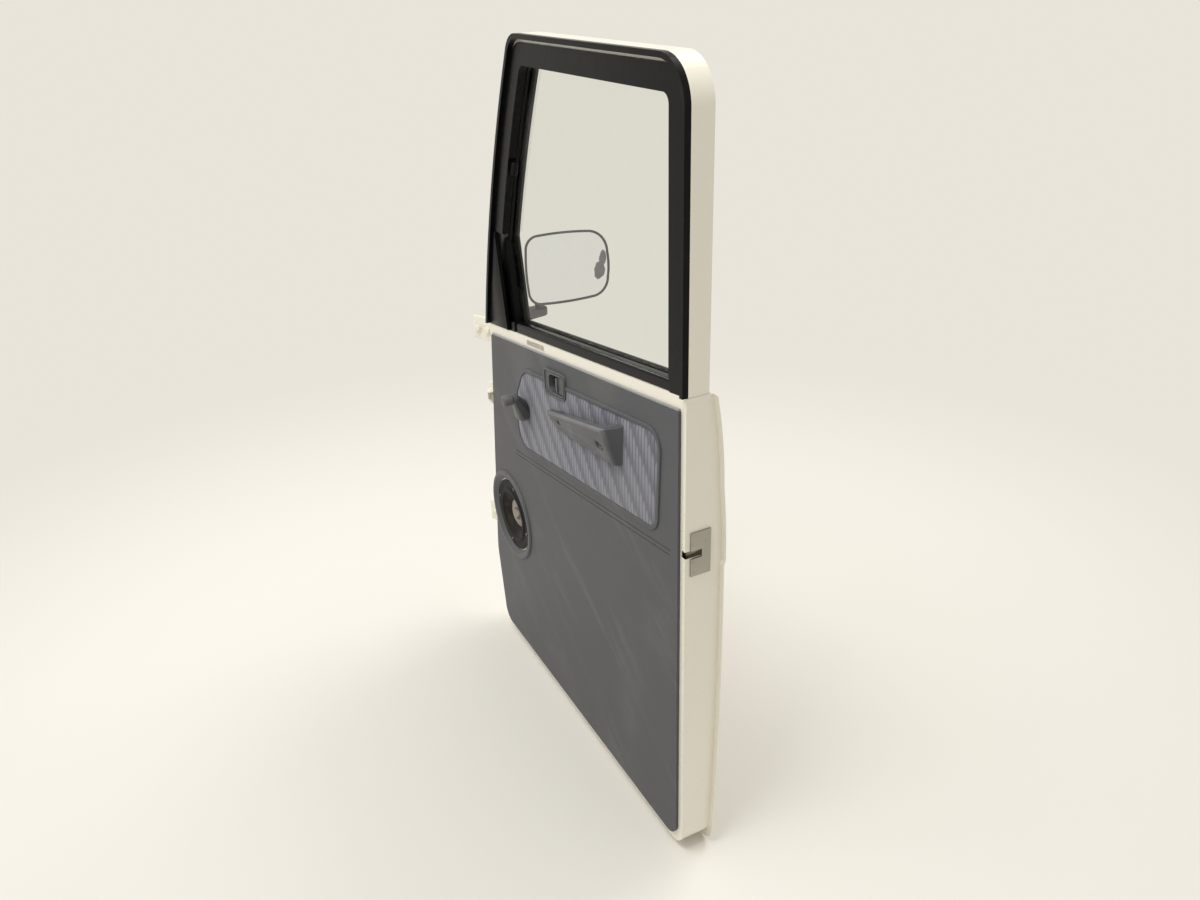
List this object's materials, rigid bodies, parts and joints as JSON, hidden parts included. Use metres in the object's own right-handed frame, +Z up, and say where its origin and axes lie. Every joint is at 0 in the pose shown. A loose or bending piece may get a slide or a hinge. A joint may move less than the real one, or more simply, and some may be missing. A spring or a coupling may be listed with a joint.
{
  "type": "front side door of a cab-over van",
  "caption": "Right-hand front door of a cab-over van, standing open on its hinges, with framed window, trimmed inner side, speaker, armrest, crank, check link and folding mirror.",
  "frame": {"origin": "centre of the upper hinge's face on the pillar, half-way between its two bolts", "axes": "+X along the open door from its hinge edge to its latch edge, +Y from the trimmed side to the painted outer side, +Z up"},
  "size_m": [0.918, 0.3298, 1.348],
  "materials": {
    "paint_cream": "gloss",
    "trim_vinyl": "soft grained",
    "moulded_grey": "satin",
    "bezel_grey": "satin",
    "bead_grey": "satin",
    "insert_cloth": "ribbed with woven strokes",
    "speaker_black": "matte",
    "cap_beige": "dusty",
    "garnish_black": "satin",
    "rubber_black": "matte",
    "window_glass": "clear",
    "mirror_silver": "polished",
    "mirror_black": "grained",
    "zinc_steel": "dull"
  },
  "bodies": {
    "pillar": {"hinge_upper_pillar_leaf": "paint_cream", "hinge_upper_pin": "zinc_steel", "hinge_lower_pillar_leaf": "paint_cream", "hinge_lower_pin": "zinc_steel", "check_bracket": "paint_cream"},
    "check_link": {"check_strap": "zinc_steel"},
    "mirror": {"mirror_housing": "mirror_black", "mirror_glass": "mirror_silver"},
    "door": {"outer_skin": "paint_cream", "inner_panel": "paint_cream", "division_bar": "garnish_black", "glass_run": "rubber_black", "frame_seal": "rubber_black", "window_glass": "window_glass", "belt_strip_inner": "rubber_black", "belt_strip_outer": "rubber_black", "sail_trim": "garnish_black", "trim_panel": "trim_vinyl", "belt_bead": "bead_grey", "fabric_insert": "insert_cloth", "speaker_bezel": "bezel_grey", "speaker": "zinc_steel", "speaker_cone": "speaker_black", "speaker_cap": "cap_beige", "handle_escutcheon": "moulded_grey", "handle_lever": "moulded_grey", "armrest": "moulded_grey", "window_crank": "moulded_grey", "crank_knob": "moulded_grey", "check_box": "zinc_steel", "latch": "zinc_steel", "outside_handle_housing": "mirror_black", "outside_handle_flap": "mirror_black", "lock_cylinder": "zinc_steel", "mirror_base": "mirror_black", "frame_front": "paint_cream", "frame_top": "paint_cream", "frame_rear": "paint_cream", "garnish_front": "garnish_black", "garnish_top": "garnish_black", "garnish_rear": "garnish_black", "hinge_upper_door_leaf": "paint_cream", "hinge_lower_door_leaf": "paint_cream"}
  },
  "joints": [
    {"name": "door_swing", "type": "hinge", "parent": "pillar", "child": "door", "pos_m": [0.04476, 0.00403, 0], "axis": [0, 0, 1], "range_deg": [-64, 4]},
    {"name": "check_turn", "type": "hinge", "parent": "pillar", "child": "check_link", "pos_m": [0.01872, -0.00645, -0.153], "axis": [0, 0, 1], "range_deg": [-52, 4]},
    {"name": "mirror_fold", "type": "hinge", "parent": "door", "child": "mirror", "pos_m": [0.19176, 0.05003, 0.088], "axis": [0, 0, 1], "range_deg": [-65, 40]}
  ],
  "couplings": [
    {"joint": "check_turn", "follows": "door_swing", "ratio": 0.8}
  ]
}
